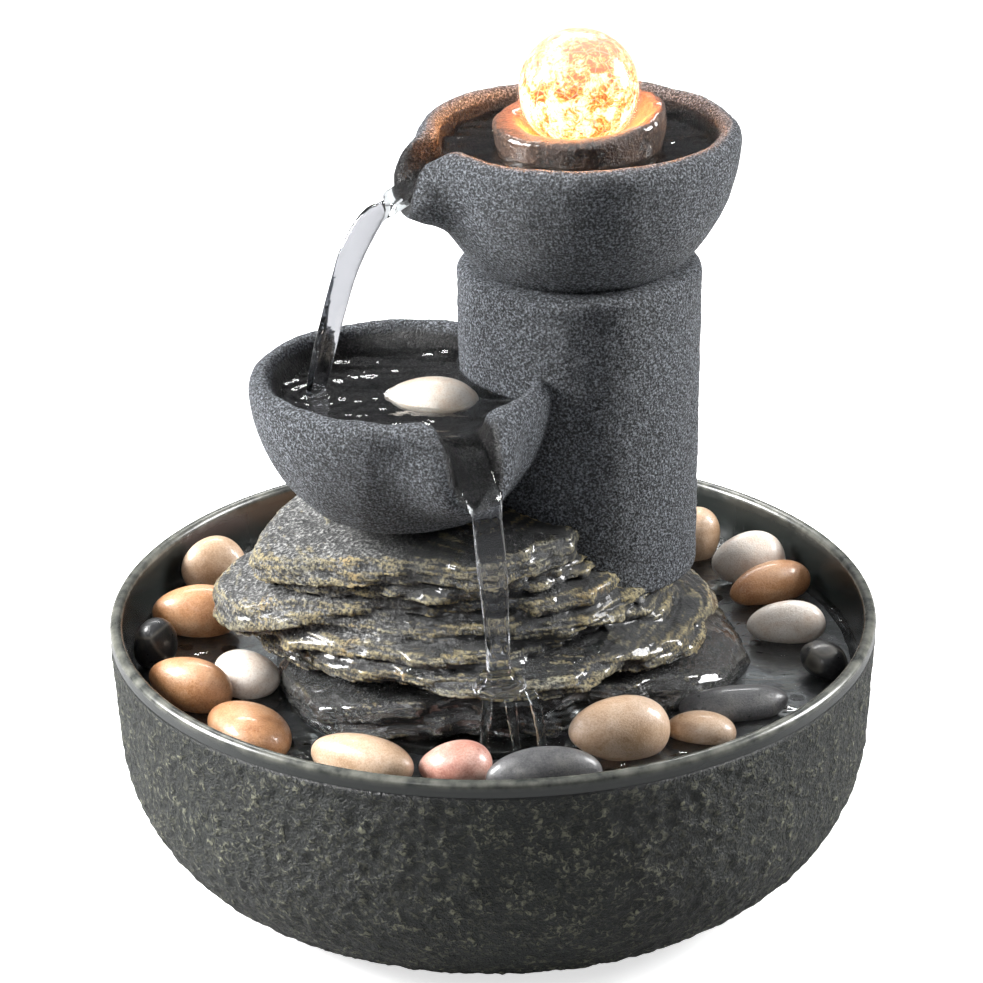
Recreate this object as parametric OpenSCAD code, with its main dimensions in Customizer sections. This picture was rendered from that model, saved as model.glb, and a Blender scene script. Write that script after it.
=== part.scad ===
// Tabletop water fountain: a round basin, a slate rock, a stone column and two pouring bowls.
// Origin: centre of the basin's footprint on the table. +Z is up and the fountain faces -Y.

/* [Basin] */
// Diameter over the basin rim
basin_d = 210; // [205:1:215]
// Height of the basin rim above the table
basin_h = 74; // [72:1:78]
// Thickness of the basin wall
basin_wall = 3.5; // [3:0.5:4]
// Level of the pebble tray's top face
tray_top = 55; // [54:0.5:56]

/* [Tower] */
// Column axis, left to right
tower_x = 24; // [23:0.5:25]
// Column axis, front to back
tower_y = 6; // [5:0.5:7]
// Height of the column's top above the table
column_top = 172; // [170:1:174]
// Radius of the column at its top
column_r = 32.6; // [32:0.1:33]

/* [Bowls] */
// Height of the top bowl's rim plane
top_rim_z = 209; // [208:0.5:210]
// Outer radius of the top bowl
top_bowl_r = 42.5; // [42:0.1:43]
// Height of the middle bowl's rim plane
mid_rim_z = 149; // [148:0.5:150]
// Outer radius of the middle bowl
mid_bowl_r = 40.7; // [40:0.1:41]
// Thickness of both bowl rims
bowl_rim = 6; // [5:0.5:6.5]

/* [Ball] */
// Radius of the crystal ball
ball_r = 16.4; // [16.2:0.1:16.5]
// Height of the ball's centre
ball_z = 219; // [218.8:0.1:219.4]

/* [Hidden] */
$fn = 64;

// Basin outline: a flat bottom, an elliptical shoulder and a slightly flared wall.
basin_r = basin_d / 2;
pad_proud = 1.5;
shoulder_z = 43.5;
shoulder_r = basin_r - 1.7;
bottom_r = 66;
basin_floor_z = pad_proud + basin_wall;

// Rubber pads under the basin.
pad_r = 7;
pad_ring_r = 52;
pad_recess = 1;

// Cable outlet through the back wall, above the water.
outlet_z = 64;
outlet_r = 2.6;
grommet_r = 4;
grommet_flange_r = 5.4;
grommet_flange_t = 0.8;
grommet_proud = 0.4;

// Pebble tray, drilled so that water drains back to the pump.
tray_t = 2.5;
tray_r = 98.5;
tray_inner_r = 60;
tray_notch_w = 58;
tray_leg_r = 3;
tray_leg_ring = 65;
tray_leg_turns = [30, 105, 150, 225, 315];
tray_gap = 0.3;

// Rock ledges, bottom to top: [bottom z, top z, centre x, centre y, radius, turn].
skirt_r = 57;
skirt_t = 5;
ledges = [
    [tray_top, 63, 2, -2, 53, 40],
    [63, 70.5, 2, -2, 54, 150],
    [70.5, 78, 0, 2, 57, 265],
    [78, 86, -5, -1, 67, 20],
    [86, 95, -13, -3, 54, 110],
    [95, 104, -17, -7, 47, 230],
    [104, 113, -21, -13, 38, 320]
];
rock_top = 113;
column_foot = 86;

// Pump cavity in the rock, open at the back and closed by the door.
cavity_r = 45;
cavity_top = 76;
doorway_w = 40;
porch_w = 54;
porch_y = 57;
porch_lift = 3;
door_w = 46;
door_t = 5;
door_h = 74;
door_gap = 0.5;
inlet_w = 12;
inlet_h = 9;

// Hollow inside the column.
column_bore_r = 25;
column_cap = 8;
column_hole_r = 12;
body_gap = 0.15;

// Bowl outlines are half ellipses hung from the rim plane.
top_bowl_depth = 47.4;
top_bowl_inner_depth = 23;
mid_bowl_depth = 45;
mid_bowl_inner_depth = 16;
mid_x = -23;
mid_y = -16;
top_spout_turn = 200;
mid_spout_turn = -66;

// Ball collar: a ring with a slanted top and a round seat for the ball.
collar_r = 23;
collar_bore_r = 13;
collar_mid_z = 212.4;
collar_slant = 5.9;
collar_slant_turn = 24;
dish_depth = 10;
dish_r = 26;
seat_gap = 0.3;

// Lamp ring and riser tube, both on the column axis.
led_r = 12.7;
led_hole_r = 5.3;
led_h = 11;
led_lens_t = 2;
chip_ring_r = 9;
chip_count = 6;
riser_r = 5;
riser_bore_r = 4;
riser_top = 200.5;
lead_r = 1.2;
lead_offset = 9;

// Pump, lying along Y under the column with its strainer to the back.
pump_x = tower_x;
pump_z = 27;
pump_w = 36;
pump_h = 30;
pump_front_y = -25;
pump_back_y = 1;
pump_foot_h = 12 - basin_floor_z;
cover_r = 14.5;
cover_y = 11;
nozzle_r = 3.95;
nozzle_bore_r = 3;
nozzle_top = 52;
strainer_w = 34;
strainer_h = 28;
strainer_t = 2;
strainer_l = 15;
slot_count = 5;
dial_r = 6;
dial_stem_r = 2.5;
dial_clearance = 0.05;
rotor_r = 5.5;
rotor_bore_r = 6.1;
impeller_r = 10.5;
chamber_r = 12;
shaft_r = 1.1;
shaft_clearance = 0.05;

// Pebbles lie on the tray: [angle, ring radius, length, width, height, turn].
tan_stones = [
    [150, 91, 22, 15, 19, -37],
    [243, 78, 32, 16, 14, 0],
    [298.5, 68, 28, 17, 19, -7],
    [316.5, 74, 20, 14, 10, -42],
    [48, 88, 16, 15, 18, 0]
];
brown_stones = [
    [168.5, 86, 26, 17, 18, -80],
    [198.5, 86, 27, 15, 16, 36],
    [219, 82.5, 28, 21, 14, 0],
    [23.5, 84.5, 29, 12, 14, -88],
    [119, 85, 24, 17, 14, 10]
];
cream_stones = [
    [194, 70, 24, 17, 13, 22],
    [6, 82, 22, 13.5, 14.5, 80],
    [32.5, 88.7, 23.5, 13.5, 17, -115],
    [90, 86, 22, 16, 13, 5]
];
pink_stones = [
    [262, 74.5, 19.5, 15, 14, 0],
    [134, 86, 19, 15, 13, 20]
];
grey_stones = [
    [278.5, 81, 31.5, 13, 16, 0],
    [329.5, 73, 32, 13, 10, -54],
    [75, 87, 21, 15, 11, -10]
];
black_stones = [
    [180.5, 93.5, 14, 13, 16, 0],
    [351.5, 90, 15.5, 13, 12, 60],
    [61, 87, 17, 14, 12, 0]
];

// Points of a quarter ellipse about (cx, cz), from straight below the centre to level with it.
function quarter(cx, cz, rx, rz, steps) =
    [for (i = [0 : steps]) [cx + rx * sin(90 * i / steps), cz - rz * cos(90 * i / steps)]];

// Points of an arc about (cx, cz) from angle a to angle b.
function arc(cx, cz, r, a, b, steps) =
    [for (i = [0 : steps]) [cx + r * cos(a + (b - a) * i / steps), cz + r * sin(a + (b - a) * i / steps)]];

// Broken slate outline with its corners on a wavy circle.
function ledge_outline(r, turn) =
    [for (a = [0 : 10 : 350]) let (k = r * (1 + 0.05 * sin(3 * a + turn) + 0.03 * sin(7 * a + 2 * turn)))
        [k * cos(a), k * sin(a)]];

module basin() {
    outer = quarter(bottom_r, shoulder_z, shoulder_r - bottom_r, shoulder_z - pad_proud, 8);
    inner = quarter(bottom_r, shoulder_z, shoulder_r - basin_wall - bottom_r, shoulder_z - basin_floor_z, 8);
    lip = arc(basin_r - basin_wall / 2, basin_h - basin_wall / 2, basin_wall / 2, 0, 180, 6);
    backwards = [for (i = [len(inner) - 1 : -1 : 0]) inner[i]];
    color([0.13, 0.15, 0.14])
        difference() {
            rotate_extrude($fn = 128)
                polygon(concat([[0, pad_proud]], outer, lip, backwards, [[0, basin_floor_z]]));
            foot_pad_places()
                cylinder(h = pad_proud + pad_recess, r = pad_r);
            cable_outlet_place()
                cylinder(h = 3 * basin_wall, r = grommet_r, center = true);
        }
}

module foot_pad_places() {
    for (turn = [45 : 90 : 315])
        rotate(turn)
            translate([pad_ring_r, 0, 0])
                children();
}

module foot_pads() {
    color([0.1, 0.1, 0.1])
        foot_pad_places()
            cylinder(h = pad_proud + pad_recess, r = pad_r);
}

// Puts its children on the cable outlet's axis, at the middle of the wall, with +Z pointing out.
module cable_outlet_place() {
    translate([0, basin_r - 0.5 - basin_wall / 2, outlet_z])
        rotate([-90, 0, 0])
            children();
}

module cable_grommet() {
    inner_z = -basin_wall / 2 - tray_gap - grommet_flange_t;
    color([0.08, 0.08, 0.08])
        cable_outlet_place()
            difference() {
                union() {
                    translate([0, 0, inner_z])
                        cylinder(h = basin_wall / 2 + grommet_proud - inner_z, r = grommet_r);
                    translate([0, 0, inner_z])
                        cylinder(h = grommet_flange_t, r = grommet_flange_r);
                }
                cylinder(h = 20, r = outlet_r, center = true);
            }
}

module pebble_tray() {
    color([0.09, 0.1, 0.1])
        difference() {
            union() {
                translate([0, 0, tray_top - tray_t])
                    cylinder(h = tray_t, r = tray_r, $fn = 128);
                for (turn = tray_leg_turns)
                    rotate(turn)
                        translate([tray_leg_ring, 0, basin_floor_z + tray_gap])
                            cylinder(h = tray_top - tray_t - basin_floor_z, r = tray_leg_r);
            }
            translate([0, 0, tray_top - tray_t - 1])
                cylinder(h = tray_t + 2, r = tray_inner_r, $fn = 128);
            translate([tower_x - tray_notch_w / 2, 0, tray_top - tray_t - 1])
                cube([tray_notch_w, porch_y + 3, tray_t + 2]);
            for (ring_r = [74, 86], turn = [6 : 24 : 359])
                rotate(turn)
                    translate([ring_r, 0, tray_top - tray_t - 1])
                        cylinder(h = tray_t + 2, r = 2.2, $fn = 24);
        }
}

module ledge(level) {
    translate([level[2], level[3], level[0]])
        linear_extrude(level[1] - level[0])
            polygon(ledge_outline(level[4], level[5]));
}

module rock_base() {
    color([0.2, 0.2, 0.17])
        difference() {
            union() {
                translate([0, 0, basin_floor_z])
                    cylinder(h = tray_top - basin_floor_z, r = skirt_r);
                for (level = ledges)
                    ledge(level);
                // Doorway around the back of the cavity.
                translate([tower_x - porch_w / 2, 20, basin_floor_z + porch_lift])
                    cube([porch_w, porch_y - 20, column_foot - basin_floor_z - porch_lift]);
            }
            // Seat for the column.
            translate([tower_x, tower_y, column_foot])
                cylinder(h = rock_top, r = column_r + body_gap);
            // Hollow skirt, and above it the pump cavity with a shaft for the riser tube.
            cylinder(h = tray_top, r = skirt_r - skirt_t);
            cylinder(h = cavity_top, r = cavity_r);
            translate([tower_x, tower_y, cavity_top - 1])
                cylinder(h = column_foot, r = 14);
            translate([tower_x - doorway_w / 2, 0, 0])
                cube([doorway_w, 100, cavity_top]);
            // Inlets let water under the skirt to the pump.
            for (turn = [180, 225, 270, 315])
                rotate(turn)
                    translate([skirt_r - 2 * skirt_t, -inlet_w / 2, 0])
                        cube([3 * skirt_t, inlet_w, basin_floor_z + inlet_h]);
            // Rebate for the door.
            translate([tower_x - door_w / 2 - door_gap, porch_y - door_t - door_gap, 0])
                cube([door_w + 2 * door_gap, 60, rock_top + 1]);
        }
}

module access_door() {
    grip_r = 7;
    color([0.22, 0.22, 0.18])
        translate([tower_x - door_w / 2, porch_y - door_t, basin_floor_z + porch_lift])
            difference() {
                cube([door_w, door_t, door_h]);
                // Finger notch in the top edge.
                translate([door_w / 2, door_t / 2, door_h + 2])
                    rotate([90, 0, 0])
                        cylinder(h = 2 * door_t, r = grip_r, center = true);
            }
}

module column() {
    edge = 3;
    color([0.3, 0.34, 0.38])
        translate([tower_x, tower_y, 0])
            difference() {
                rotate_extrude($fn = 96)
                    polygon(concat(
                        [[0, column_foot], [column_r - 0.8, column_foot], [column_r, column_top - edge]],
                        arc(column_r - edge, column_top - edge, edge, 0, 90, 5),
                        [[0, column_top]]));
                translate([0, 0, column_foot - 1])
                    cylinder(h = column_top - column_foot - column_cap + 1, r = column_bore_r);
                translate([0, 0, column_foot])
                    cylinder(h = column_top, r = column_hole_r);
            }
}

// Solid half bowl under the plane z = 0, with a flat foot.
module bowl_outside(r, depth, foot_depth) {
    rows = 12;
    low = acos(foot_depth / depth);
    side = [for (i = [0 : rows])
        let (a = low + (90 - low) * i / rows) [r * sin(a), -depth * cos(a)]];
    rim = arc(r - bowl_rim / 2, 0, bowl_rim / 2, 15, 180, 6);
    rotate_extrude($fn = 96)
        polygon(concat([[0, -foot_depth]], side, rim, [[0, 0]]));
}

module bowl_hollow(r, depth) {
    rotate_extrude($fn = 96)
        polygon(concat(quarter(0, 0, r, depth, 10), [[r, 20], [0, 20]]));
}

// Horn laid along +X whose tip is at distance reach from the bowl's axis.
module spout_horn(reach, drop, tilt, tip_r, root_r, length) {
    translate([reach, 0, -drop])
        rotate([0, -(90 - tilt), 0])
            cylinder(h = length, r1 = tip_r, r2 = root_r, $fn = 48);
}

// Bowl with a pouring spout along +X; the rim plane is z = 0.
module spout_bowl(r, depth, foot_depth, inner_depth, reach, drop, tilt) {
    tip_r = 11;
    channel_r = 7.5;
    lip_angle = 27;
    difference() {
        union() {
            bowl_outside(r, depth, foot_depth);
            difference() {
                spout_horn(reach, drop, tilt, tip_r, 19, 34);
                // Lips slope down from the rim to the tip.
                translate([r - 6, -40, 1])
                    rotate([0, lip_angle, 0])
                        cube([60, 80, 40]);
                translate([-60, -40, bowl_rim / 2])
                    cube([r + 60, 80, 40]);
            }
        }
        bowl_hollow(r - bowl_rim, inner_depth);
        translate([1, 0, 0])
            spout_horn(reach, drop, tilt, channel_r, 12, 30);
        // Open the channel upwards.
        translate([reach - 26, -channel_r, -drop + 2])
            rotate([0, tilt / 2, 0])
                cube([40, 2 * channel_r, 40]);
    }
}

module middle_bowl() {
    color([0.3, 0.34, 0.38])
        difference() {
            translate([mid_x, mid_y, mid_rim_z])
                rotate(mid_spout_turn)
                    spout_bowl(mid_bowl_r, mid_bowl_depth, mid_rim_z - rock_top,
                        mid_bowl_inner_depth, 50, 10.5, 14);
            translate([tower_x, tower_y, 0])
                cylinder(h = 400, r = column_r + body_gap, $fn = 96);
        }
}

module top_bowl() {
    foot_depth = top_rim_z - column_top;
    color([0.3, 0.34, 0.38])
        translate([tower_x, tower_y, top_rim_z])
            difference() {
                rotate(top_spout_turn)
                    spout_bowl(top_bowl_r, top_bowl_depth, foot_depth, top_bowl_inner_depth, 52, 9, 13);
                // Flat seat for the lamp ring.
                translate([0, 0, -top_bowl_inner_depth])
                    cylinder(h = top_bowl_inner_depth, r = collar_bore_r);
                // Way through the floor for the riser tube and the lamp lead.
                translate([0, 0, -foot_depth - 1])
                    cylinder(h = foot_depth, r = riser_r);
                translate([0, -lead_offset, -foot_depth - 1])
                    cylinder(h = foot_depth, r = lead_r, $fn = 24);
            }
}

bowl_floor_z = top_rim_z - top_bowl_inner_depth;

module ball_holder() {
    color([0.35, 0.25, 0.2])
        translate([tower_x, tower_y, 0])
            difference() {
                translate([0, 0, bowl_floor_z])
                    cylinder(h = 40, r1 = collar_r - 4, r2 = collar_r + 2);
                // Follow the round floor of the bowl with a small chamfer.
                difference() {
                    translate([0, 0, bowl_floor_z - 1])
                        cylinder(h = 20, r = 40);
                    translate([0, 0, top_rim_z])
                        rotate_extrude($fn = 96)
                            polygon(concat(
                                quarter(0, 0, top_bowl_r - bowl_rim - body_gap, top_bowl_inner_depth - body_gap, 10),
                                [[0, 0]]));
                }
                translate([0, 0, bowl_floor_z - 1])
                    cylinder(h = 60, r = collar_bore_r);
                translate([0, 0, ball_z])
                    sphere(r = ball_r + seat_gap);
                // Shallow dish that opens the seat towards the rim.
                translate([0, 0, ball_z - dish_depth])
                    cylinder(h = dish_depth + 2, r1 = collar_bore_r + 0.8, r2 = dish_r);
                translate([0, 0, collar_mid_z])
                    rotate(collar_slant_turn)
                        rotate([0, -collar_slant, 0])
                            translate([-50, -50, 0])
                                cube([100, 100, 60]);
            }
}

module crystal_ball() {
    color([1, 0.75, 0.35, 0.6])
        translate([tower_x, tower_y, ball_z])
            sphere(r = ball_r);
}

module tower_ring(z, h, outer, inner) {
    translate([tower_x, tower_y, z])
        difference() {
            cylinder(h = h, r = outer);
            translate([0, 0, -1])
                cylinder(h = h + 2, r = inner);
        }
}

led_z = bowl_floor_z + body_gap;
board_t = 1.2;
chip_h = 1;
led_wall = 1.2;

module led_housing() {
    color([0.08, 0.08, 0.08])
        difference() {
            tower_ring(led_z, led_h, led_r, led_hole_r);
            tower_ring(led_z + led_wall, led_h, led_r - led_wall, led_hole_r + led_wall);
            translate([tower_x, tower_y - lead_offset, 0])
                cylinder(h = 300, r = lead_r, $fn = 24);
        }
}

module led_board() {
    color([0.9, 0.9, 0.88])
        tower_ring(led_z + led_h - 5, board_t, led_r - led_wall, led_hole_r + led_wall);
}

module led_chips() {
    chip_w = 2.6;
    color([1, 0.85, 0.3])
        for (turn = [30 : 360 / chip_count : 359])
            translate([tower_x, tower_y, led_z + led_h - 5 + board_t])
                rotate(turn)
                    translate([chip_ring_r - chip_w / 2, -chip_w / 2, 0])
                        cube([chip_w, chip_w, chip_h]);
}

module led_lens() {
    color([0.9, 0.9, 0.85, 0.5])
        tower_ring(led_z + led_h, led_lens_t, led_r, led_hole_r);
}

module led_lead() {
    pump_top = pump_z + pump_h / 2;
    color([0.15, 0.15, 0.15])
        translate([tower_x, tower_y - lead_offset, pump_top])
            cylinder(h = led_z + led_h - 5 - pump_top, r = lead_r, $fn = 24);
}

module riser_tube() {
    foot = nozzle_top - 9;
    color([0.75, 0.78, 0.78, 0.7])
        tower_ring(foot, riser_top - foot, riser_r, riser_bore_r);
}

module pump_box(w, l, h, y) {
    translate([pump_x - w / 2, y, pump_z - h / 2])
        cube([w, l, h]);
}

// Cylinder along +Y on the pump's own axis.
module pump_round(y, l, r) {
    translate([pump_x, y, pump_z])
        rotate([-90, 0, 0])
            cylinder(h = l, r = r);
}

module pump_body() {
    color([0.07, 0.07, 0.08])
        difference() {
            union() {
                pump_box(pump_w, pump_back_y - pump_front_y, pump_h, pump_front_y);
                // Gland boss where the supply cable enters.
                translate([pump_x - pump_w / 2 + 8, pump_front_y + 1, pump_z + 6])
                    rotate([90, 0, 0])
                        cylinder(h = 3.5, r = 4);
            }
            pump_round(pump_back_y - 19, 20, rotor_bore_r);
            pump_round(pump_back_y - 23, 5, shaft_r);
        }
}

module pump_cover() {
    wall = 1.6;
    color([0.1, 0.1, 0.11])
        difference() {
            union() {
                pump_round(pump_back_y, cover_y - pump_back_y, cover_r);
                translate([pump_x, tower_y, pump_z])
                    cylinder(h = nozzle_top - pump_z, r = nozzle_r);
            }
            pump_round(pump_back_y - 1, cover_y - wall - pump_back_y + 1, chamber_r);
            pump_round(cover_y - wall - 1, 5, 5);
            translate([pump_x, tower_y, pump_z])
                cylinder(h = nozzle_top, r = nozzle_bore_r);
        }
}

module pump_feet() {
    color([0.12, 0.12, 0.12])
        for (side = [-1, 1], y = [pump_front_y + 6, pump_back_y - 6])
            translate([pump_x + side * (pump_w / 2 - 6), y, basin_floor_z])
                cylinder(h = pump_foot_h, r1 = 5.5, r2 = 2.5);
}

module pump_strainer() {
    slot_w = 3;
    start = cover_y + 0.3;
    pitch = strainer_w / (slot_count + 1);
    color([0.09, 0.09, 0.1])
        difference() {
            pump_box(strainer_w, strainer_l, strainer_h, start);
            pump_box(strainer_w - 2 * strainer_t, strainer_l - strainer_t + 1, strainer_h - 2 * strainer_t, start - 1);
            for (i = [0 : slot_count - 1], side = [-1, 1])
                translate([pump_x - strainer_w / 2 + pitch * (i + 1) - slot_w / 2, start + 3, pump_z + side * strainer_h / 2 - 5])
                    cube([slot_w, strainer_l - 7, 10]);
            pump_round(start, strainer_l + 5, dial_stem_r + dial_clearance);
        }
}

module flow_dial() {
    face_y = cover_y + 0.3 + strainer_l + 0.2;
    color([0.25, 0.25, 0.27])
        difference() {
            union() {
                pump_round(face_y, 3, dial_r);
                pump_round(face_y - 5, 6, dial_stem_r);
                pump_round(face_y - strainer_t - 3.2, 2.6, dial_stem_r + 2);
            }
            // Finger slot across the face.
            translate([pump_x - 1, face_y + 1.5, pump_z - dial_r])
                cube([2, 5, 2 * dial_r]);
        }
}

module impeller() {
    blade_count = 6;
    blade_l = impeller_r - 3;
    color([0.8, 0.8, 0.78])
        difference() {
            union() {
                pump_round(pump_back_y - 17, 18, rotor_r);
                pump_round(pump_back_y + 0.8, 1.2, impeller_r);
                for (turn = [0 : 360 / blade_count : 359])
                    translate([pump_x, pump_back_y + 1.5, pump_z])
                        rotate([0, turn, 0])
                            translate([2.5, 0, -0.6])
                                cube([blade_l, 4.5, 1.2]);
            }
            pump_round(pump_back_y - 30, 60, shaft_r + shaft_clearance);
        }
}

module rotor_shaft() {
    color([0.9, 0.9, 0.9])
        pump_round(pump_back_y - 23, 29, shaft_r);
}

// Smooth pebble lying on the tray: [angle, ring radius, length, width, height, turn].
module pebble(stone) {
    lift = 0.15;
    rotate(stone[0])
        translate([stone[1], 0, tray_top + stone[4] / 2 + lift])
            rotate(stone[5] + 90)
                scale([stone[2] / 2, stone[3] / 2, stone[4] / 2])
                    sphere(r = 1, $fn = 18);
}

module pebbles(stones) {
    for (stone = stones)
        pebble(stone);
}

module bowl_pebble() {
    color([0.9, 0.87, 0.8])
        translate([-16, -19, mid_rim_z - mid_bowl_inner_depth + 8])
            rotate(-8)
                scale([12.8, 9.5, 7.2])
                    sphere(r = 1, $fn = 18);
}

module pebbles_tan() { color([0.7, 0.55, 0.38]) pebbles(tan_stones); }
module pebbles_brown() { color([0.6, 0.38, 0.22]) pebbles(brown_stones); }
module pebbles_cream() { color([0.85, 0.78, 0.68]) pebbles(cream_stones); }
module pebbles_pink() { color([0.65, 0.45, 0.38]) pebbles(pink_stones); }
module pebbles_grey() { color([0.35, 0.37, 0.38]) pebbles(grey_stones); }
module pebbles_black() { color([0.12, 0.12, 0.13]) pebbles(black_stones); }

basin();
foot_pads();
cable_grommet();
pebble_tray();
rock_base();
access_door();
column();
middle_bowl();
top_bowl();
ball_holder();
crystal_ball();
led_housing();
led_board();
led_chips();
led_lens();
led_lead();
riser_tube();
pump_body();
pump_cover();
pump_feet();
pump_strainer();
flow_dial();
impeller();
rotor_shaft();
pebbles_tan();
pebbles_brown();
pebbles_cream();
pebbles_pink();
pebbles_grey();
pebbles_black();
bowl_pebble();
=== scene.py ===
"""Looks of the tabletop water fountain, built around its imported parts.

Lengths in this script are millimetres in the part's own frame, and meshes are scaled to metres.
Organic pieces are modelled as signed distance fields on a grid and turned into closed meshes.
"""

import math

import bmesh
import bpy
import numpy as np
import openvdb
from mathutils import Euler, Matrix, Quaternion, Vector


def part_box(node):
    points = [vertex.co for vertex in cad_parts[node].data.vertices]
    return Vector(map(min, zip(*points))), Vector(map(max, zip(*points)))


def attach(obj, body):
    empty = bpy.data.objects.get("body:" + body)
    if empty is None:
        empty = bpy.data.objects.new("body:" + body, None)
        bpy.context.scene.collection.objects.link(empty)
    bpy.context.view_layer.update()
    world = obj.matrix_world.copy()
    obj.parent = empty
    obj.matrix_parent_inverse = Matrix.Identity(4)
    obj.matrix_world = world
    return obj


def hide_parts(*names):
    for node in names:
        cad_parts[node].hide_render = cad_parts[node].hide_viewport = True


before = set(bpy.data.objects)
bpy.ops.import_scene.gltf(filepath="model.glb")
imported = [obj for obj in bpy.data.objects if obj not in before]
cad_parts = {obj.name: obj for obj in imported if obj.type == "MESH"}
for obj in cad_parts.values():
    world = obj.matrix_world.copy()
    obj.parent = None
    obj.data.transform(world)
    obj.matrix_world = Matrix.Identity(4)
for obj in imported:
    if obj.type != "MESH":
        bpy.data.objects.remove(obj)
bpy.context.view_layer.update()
MM = 0.001


# ---- sizes from the frame

def span(node):
    """Lowest and highest corner of a node, in millimetres."""
    low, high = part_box(node)
    return np.array(low) / MM, np.array(high) / MM


basin_low, basin_high = span("basin")
RIM_R = (basin_high[0] - basin_low[0]) / 2
RIM_Z = basin_high[2]
BASIN_FOOT = basin_low[2]
WALL = 3.5

column_low, column_high = span("column")
TOWER = (column_low + column_high) / 2
COLUMN_R = (column_high[0] - column_low[0]) / 2
COLUMN_FOOT, COLUMN_TOP = column_low[2], column_high[2]

ball_low, ball_high = span("crystal_ball")
BALL = (ball_low + ball_high) / 2
BALL_R = (ball_high[2] - ball_low[2]) / 2

LIP_RISE = 3.0
TOP_RIM = span("top_bowl")[1][2] - LIP_RISE
TOP_WATER = TOP_RIM - 4.5
MID_RIM = span("middle_bowl")[1][2] - LIP_RISE
MID_WATER = MID_RIM - 5.5
MID_CENTRE = (-23.0, -16.0)
TRAY_TOP = span("pebble_tray")[1][2]
BASIN_WATER = TRAY_TOP + 4.0
ROCK_FOOT = span("rock_base")[0][2]
door_low, door_high = span("access_door")


# ---- signed distance tools

class Field:
    """A box of evenly spaced sample points."""

    def __init__(self, low, high, step):
        self.low = np.array(low, dtype=np.float32)
        self.step = step
        counts = np.ceil((np.array(high) - self.low) / step).astype(int) + 1
        self.axes = [self.low[i] + step * np.arange(counts[i], dtype=np.float32) for i in range(3)]
        self.x = self.axes[0][:, None, None]
        self.y = self.axes[1][None, :, None]
        self.z = self.axes[2][None, None, :]

    def noise(self, cell, seed, stretch=(1, 1, 1)):
        """Smooth random values from -1 to 1 that change over a cell's length."""
        rng = np.random.default_rng(seed)
        spots, blends = [], []
        for axis, factor in zip(self.axes, stretch):
            steps = (axis - axis[0]) / (cell * factor)
            spot = np.floor(steps).astype(int)
            blend = steps - spot
            spots.append(spot)
            blends.append((blend * blend * (3 - 2 * blend)).astype(np.float32))
        values = rng.uniform(-1, 1, [spot[-1] + 2 for spot in spots]).astype(np.float32)
        for i, (spot, blend) in enumerate(zip(spots, blends)):
            shape = [1, 1, 1]
            shape[i] = -1
            weight = blend.reshape(shape)
            values = np.take(values, spot, axis=i) * (1 - weight) + np.take(values, spot + 1, axis=i) * weight
        return values

    def sample(self, values, points):
        """Values of a full grid at the sample nearest each point."""
        spots = np.rint((points - self.low) / self.step).astype(int)
        spots = np.clip(spots, 0, np.array(values.shape) - 1)
        return values[spots[:, 0], spots[:, 1], spots[:, 2]]

    def mesh(self, name, distance, **colours):
        """A closed mesh of the zero surface; each colour is a grid stored as a vertex attribute."""
        band = 3 * self.step
        grid = openvdb.FloatGrid(background=band)
        grid.copyFromArray(np.clip(distance, -band, band).astype(np.float32))
        points, quads = grid.convertToQuads(isovalue=0.0)
        points = points * self.step + self.low
        data = new_mesh(name, points, quads)
        for key, values in colours.items():
            store(data, key, self.sample(values, points))
        return show(name, data)


def new_mesh(name, points, faces):
    """A smooth-shaded mesh from points in millimetres, with its faces turned outwards."""
    faces = np.asarray(faces)
    a, b, c = points[faces[:, 0]], points[faces[:, 1]], points[faces[:, 2]]
    volume = np.einsum("ij,ij->i", a, np.cross(b, c)).sum()
    if faces.shape[1] == 4:
        d = points[faces[:, 3]]
        volume += np.einsum("ij,ij->i", a, np.cross(c, d)).sum()
    if volume < 0:
        faces = faces[:, ::-1]
    data = bpy.data.meshes.new(name)
    data.from_pydata((points * MM).tolist(), [], faces.tolist())
    data.shade_smooth()
    return data


def store(data, key, values):
    """Keeps one value per vertex, for the materials to read."""
    attribute = data.attributes.new(key, "FLOAT", "POINT")
    attribute.data.foreach_set("value", np.ascontiguousarray(values, dtype=np.float32).ravel())


def show(name, data):
    piece = bpy.data.objects.new(name, data)
    bpy.context.scene.collection.objects.link(piece)
    return piece


def join(a, b, k):
    """Union of two distances with a fillet of about k millimetres."""
    h = np.maximum(k - np.abs(a - b), 0) / k
    return np.minimum(a, b) - h * h * k / 4


def meet(a, b, k):
    """Intersection of two distances with edges rounded over about k millimetres."""
    return -join(-a, -b, k)


def fade(values):
    """Values held between 0 and 1."""
    return np.clip(values, 0, 1)


def away(field, centre):
    """Level distance of a field's points from an upright axis."""
    dx, dy = field.x - centre[0], field.y - centre[1]
    return np.sqrt(dx * dx + dy * dy)


def squashed_ball(x, y, z, radius, depth):
    k0 = np.sqrt((x * x + y * y) / radius ** 2 + z * z / depth ** 2)
    k1 = np.sqrt((x * x + y * y) / radius ** 4 + z * z / depth ** 4)
    return k0 * (k0 - 1) / np.maximum(k1, 1e-6)


def horn(x, y, z, start, end, start_r, end_r, open_top=False):
    """A tapered round bar; with open_top it becomes a trough without a lid."""
    start, end = np.array(start, dtype=float), np.array(end, dtype=float)
    run = end - start
    t = ((x - start[0]) * run[0] + (y - start[1]) * run[1] + (z - start[2]) * run[2]) / (run @ run)
    t = fade(t)
    up = z - start[2] - t * run[2]
    if open_top:
        up = np.minimum(up, 0)
    away = (x - start[0] - t * run[0]) ** 2 + (y - start[1] - t * run[1]) ** 2 + up ** 2
    return np.sqrt(away) - (start_r + t * (end_r - start_r))


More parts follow.
